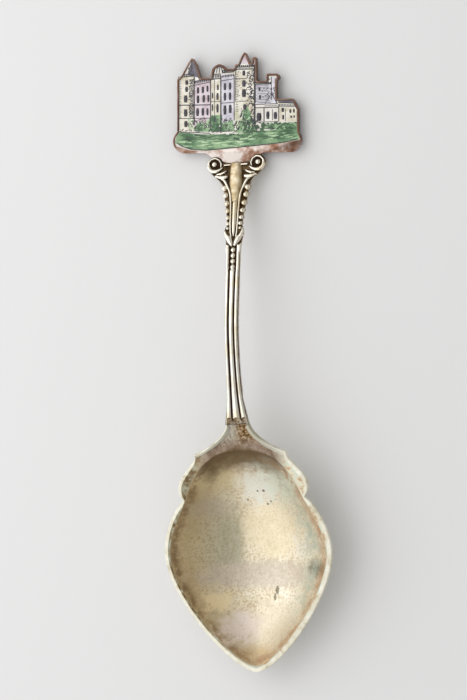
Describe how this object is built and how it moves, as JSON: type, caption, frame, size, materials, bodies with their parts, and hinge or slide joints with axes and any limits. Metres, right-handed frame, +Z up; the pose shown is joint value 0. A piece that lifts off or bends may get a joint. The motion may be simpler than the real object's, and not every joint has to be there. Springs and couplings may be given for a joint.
{
  "type": "souvenir spoon",
  "caption": "Souvenir jam spoon: pointed shell-shouldered bowl, reeded arched handle with scroll finial, and an enamelled castle-shaped badge on its end.",
  "frame": {"origin": "below the middle of the spoon's length, on the surface that it lies on face up", "axes": "+Z up, the way the bowl opens; +Y along the spoon from the bowl's tip to the badge; +X across it"},
  "size_m": [0.0372, 0.1345, 0.0149],
  "materials": {
    "silver_plate": "worn silver plate with warm tarnish",
    "solder": "dull, filed flush",
    "copper": "copper with worn plating",
    "white_enamel": "fired gloss",
    "sandstone_enamel": "fired gloss",
    "rose_enamel": "fired gloss",
    "slate_enamel": "fired gloss",
    "lawn_enamel": "fired gloss",
    "shrub_enamel": "fired gloss",
    "keyline_enamel": "fired gloss"
  },
  "bodies": {
    "root": {"bowl": "silver_plate", "bowl_solder": "solder", "handle": "silver_plate", "badge_solder": "solder", "badge_plate": "copper", "enamel_ground": "white_enamel", "enamel_sandstone": "sandstone_enamel", "enamel_rose": "rose_enamel", "enamel_slate": "slate_enamel", "enamel_lawn": "lawn_enamel", "enamel_shrubs": "shrub_enamel", "enamel_keyline": "keyline_enamel"}
  },
  "joints": []
}
